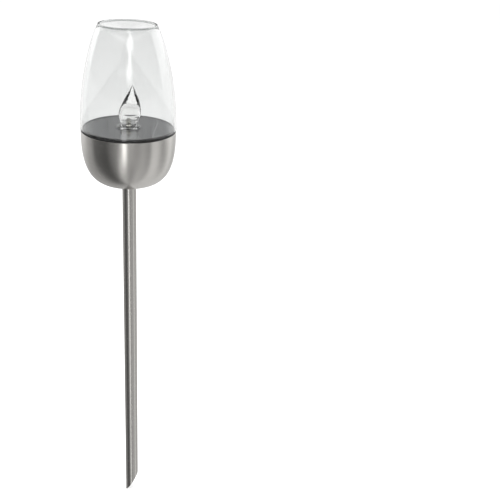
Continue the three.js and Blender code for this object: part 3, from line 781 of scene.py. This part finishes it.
def flame_lens(material):
    """Ring by ring: up from the cavity's roof, down inside, round the flange and up to the tip."""
    collar_top = 5.2
    (radius, height, _), *others = flame_rings()
    deselect()
    bpy.ops.mesh.primitive_circle_add(vertices=12, radius=radius * MM, location=(0, 0, 0))
    piece = named("flame_lens_fine")
    bpy.ops.mesh.select_all(action="SELECT")
    shift = lean(height * MM)
    bpy.ops.transform.translate(value=(shift, 0, RIM + height * MM))
    for next_radius, next_height, crease in others:
        next_shift = lean(next_height * MM) if next_height > collar_top else 0.0
        move = (next_shift - shift, 0, (next_height - height) * MM)
        bpy.ops.mesh.extrude_region_move(TRANSFORM_OT_translate={"value": move})
        scale = next_radius / radius
        centre = (next_shift, 0, RIM + next_height * MM)
        bpy.ops.transform.resize(value=(scale, scale, 1), center_override=centre)
        if crease:
            bpy.ops.transform.edge_crease(value=crease)
        radius, height, shift = next_radius, next_height, next_shift
    ridged(piece)
    tip(piece, Vector((lean(LENS_TOP - RIM), 0, LENS_TOP)))
    roof()
    closed(60)
    apply_modifier(piece, "SUBSURF", levels=3, render_levels=3)
    bpy.ops.object.shade_smooth_by_angle(angle=math.radians(50))
    fitted(piece, "lamp", material, "clear_acrylic", "flame_lens")


def smooth(share):
    share = min(1.0, max(0.0, share))
    return share * share * (3 - 2 * share)


def tip(piece, place):
    """The selected last ring is drawn to one point."""
    bpy.ops.mesh.extrude_region_move(TRANSFORM_OT_translate={"value": (0, 0, 0)})
    bpy.ops.mesh.merge(type="CENTER")
    mesh = bmesh.from_edit_mesh(piece.data)
    for vertex in mesh.verts:
        if vertex.select:
            vertex.co = place
    bmesh.update_edit_mesh(piece.data)


def roof():
    """The open first ring is filled."""
    bpy.ops.mesh.select_all(action="DESELECT")
    bpy.ops.mesh.select_non_manifold(extend=False)
    bpy.ops.mesh.edge_face_add()


def diode(epoxy, metal):
    """A clear dome over a flange, with its lead frame inside it."""
    low, high = under("diode"), over("diode")
    dome, flange, steps = 2.5 * MM, 2.9 * MM, 10
    arc = []
    for step in range(steps + 1):
        angle = math.pi / 2 * step / steps
        arc.append((dome * math.cos(angle), high - dome + dome * math.sin(angle)))
    arc[-1] = (0, high)
    shoulder = low + MM
    profile = [(0, low), (flange, low), (flange, shoulder), (dome, shoulder), *arc]
    piece = turned("diode_fine", profile, 48)
    rounded(piece, 0.12 * MM, 2)
    fitted(piece, "lamp", epoxy, "diode_epoxy", "diode")
    brim = high - 4.2 * MM
    cup = [(0.5, -1.6), (1.2, -0.8), (1.3, 0), (1.05, 0), (0.5, -0.6), (0, -0.6)]
    outline = [(0, shoulder), (0.45 * MM, shoulder)]
    outline += [(radius * MM, brim + drop * MM) for radius, drop in cup]
    fitted(turned("diode_cup", outline, 32), "lamp", metal, "tinned_copper")


# ---------------------------------------------------------------- the torch


def refined(node, body, material, slot, corner=0.15 * MM):
    """A copy of a CAD node with its flats merged, its corners rounded and its round faces smooth."""
    deselect()
    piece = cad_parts[node].copy()
    piece.data = piece.data.copy()
    for mark in [key for key in piece.keys() if key.startswith("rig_")]:
        del piece[mark]
    piece.parent = None
    piece.name = f"{node}_fine"
    bpy.context.scene.collection.objects.link(piece)
    bpy.context.view_layer.objects.active = piece
    piece.select_set(True)
    bpy.ops.object.mode_set(mode="EDIT")
    bpy.ops.mesh.select_all(action="SELECT")
    bpy.ops.mesh.remove_doubles(threshold=WELD)
    bpy.ops.mesh.dissolve_limited(angle_limit=math.radians(0.5))
    bpy.ops.object.mode_set(mode="OBJECT")
    if corner:
        rounded(piece, corner, 2, 40)
    bpy.ops.object.shade_smooth_by_angle(angle=math.radians(40))
    fitted(piece, body, material, slot, node)


def battery_film():
    """A green sleeve with a pale band, over bright ends."""
    material, shader = finish("battery_film", (0.06, 0.2, 0.09), 0.3, Coat_Weight=0.4)
    place = add(material, "ShaderNodeTexCoord")
    split = add(material, "ShaderNodeSeparateXYZ")
    join(material, place.outputs["Object"], split.inputs[0])
    low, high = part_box("battery")
    along = spread(material, split.outputs["X"], 0.0, 1.0, low[0], high[0])
    ramp = add(material, "ShaderNodeValToRGB")
    ramp.color_ramp.interpolation = "CONSTANT"
    marks = ramp.color_ramp.elements
    tones = [(0.0, (0.5, 0.5, 0.49)), (0.02, (0.045, 0.17, 0.075)), (0.7, (0.6, 0.6, 0.56)),
             (0.74, (0.045, 0.17, 0.075)), (0.955, (0.5, 0.5, 0.49))]
    for number, (place_along, tone) in enumerate(tones):
        mark = marks[number] if number < 2 else marks.new(place_along)
        mark.position = place_along
        mark.color = (*tone, 1)
    join(material, along, ramp.inputs["Fac"])
    join(material, ramp.outputs["Color"], shader.inputs["Base Color"])
    scuffs = noise(material, stretched(material, (300, 900, 900)))
    dulled(material, shader, scuffs, 0.22, 0.42)
    bumped(material, shader, scuffs, 0.01 * MM)
    return material


def cloudy(name, first, second, roughness, scale, **settings):
    """A finish whose colour drifts between two tones, with a fine uneven surface."""
    material, shader = finish(name, first, roughness, **settings)
    cloud = grain(material, scale, 4.0)
    tinted(material, shader, cloud, first, second)
    dulled(material, shader, cloud, roughness * 0.8, roughness * 1.2)
    bumped(material, shader, cloud, 0.012 * MM)
    return material


def lamp_works(plastic, bright, copper):
    """The battery housing under the panel, and all that it holds."""
    nickel = cloudy("nickel", (0.5, 0.47, 0.42), (0.66, 0.63, 0.56), 0.28, 900, Metallic=1.0)
    board = cloudy("green_laminate", (0.012, 0.09, 0.03), (0.02, 0.13, 0.045), 0.4, 500)
    ferrite = cloudy("ferrite", (0.02, 0.02, 0.022), (0.045, 0.045, 0.05), 0.55, 1500)
    red = cloudy("red_wire", (0.36, 0.012, 0.01), (0.5, 0.03, 0.02), 0.42, 800)
    black = cloudy("black_wire", (0.01, 0.01, 0.01), (0.024, 0.024, 0.024), 0.45, 800)
    refined("battery_housing", "lamp", plastic, "black_plastic", 0.25 * MM)
    refined("battery_door", "door", plastic, "black_plastic", 0.25 * MM)
    refined("door_screw", "door", bright, "screw_steel", 0.1 * MM)
    refined("battery", "lamp", battery_film(), "battery_film", 0.1 * MM)
    refined("circuit_board", "lamp", board, "green_laminate", 0.05 * MM)
    refined("driver_chip", "lamp", ferrite, "ferrite", 0.1 * MM)
    refined("inductor", "lamp", ferrite, "ferrite", 0.1 * MM)
    refined("switch_body", "lamp", nickel, "nickel", 0.15 * MM)
    refined("switch_slider", "switch", plastic, "black_plastic", 0.2 * MM)
    refined("contact_spring", "lamp", nickel, "nickel", 0)
    for end in ("positive", "negative"):
        refined(f"contact_plate_{end}", "lamp", nickel, "nickel", 0.08 * MM)
    for end in ("anode", "cathode"):
        refined(f"diode_lead_{end}", "lamp", copper, "tinned_copper", 0.04 * MM)
    for number in (1, 2, 3):
        refined(f"housing_screw_{number}", "lamp", bright, "screw_steel", 0.1 * MM)
    for number in (1, 2):
        refined(f"board_screw_{number}", "lamp", bright, "screw_steel", 0.08 * MM)
    for run in ("diode", "panel", "battery"):
        refined(f"{run}_wire_red", "lamp", red, "red_wire", 0)
        refined(f"{run}_wire_black", "lamp", black, "black_wire", 0)


def finish_cad_nodes(looks):
    """The cells and their ribbons keep the CAD's own meshes."""
    for node, material in looks.items():
        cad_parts[node].material_slots[0].material = material


def torch():
    plastic = black_plastic()
    rubber = black_rubber()
    bright = bright_steel()
    copper = tinned_copper()
    stake_tube(tube_steel())
    steel_bowl(turned_steel())
    stake_spigot(plastic)
    refined("spigot_washer", "head", bright, "screw_steel", 0.1 * MM)
    refined("spigot_screw", "head", bright, "screw_steel", 0.12 * MM)
    glass_shade(clear_glass())
    glass_gasket(rubber)
    panel_carrier(plastic)
    bowl_seal(rubber)
    solar_panel(clear_epoxy(), dark_laminate())
    solder_dots(copper)
    flame_lens(clear_acrylic())
    diode(diode_epoxy(), copper)
    cells = silicon()
    looks = {f"solar_cell_{number}": cells for number in range(1, 5)}
    looks["tabbing_ribbon"] = copper
    finish_cad_nodes(looks)
    lamp_works(plastic, bright, copper)


studio()
torch()
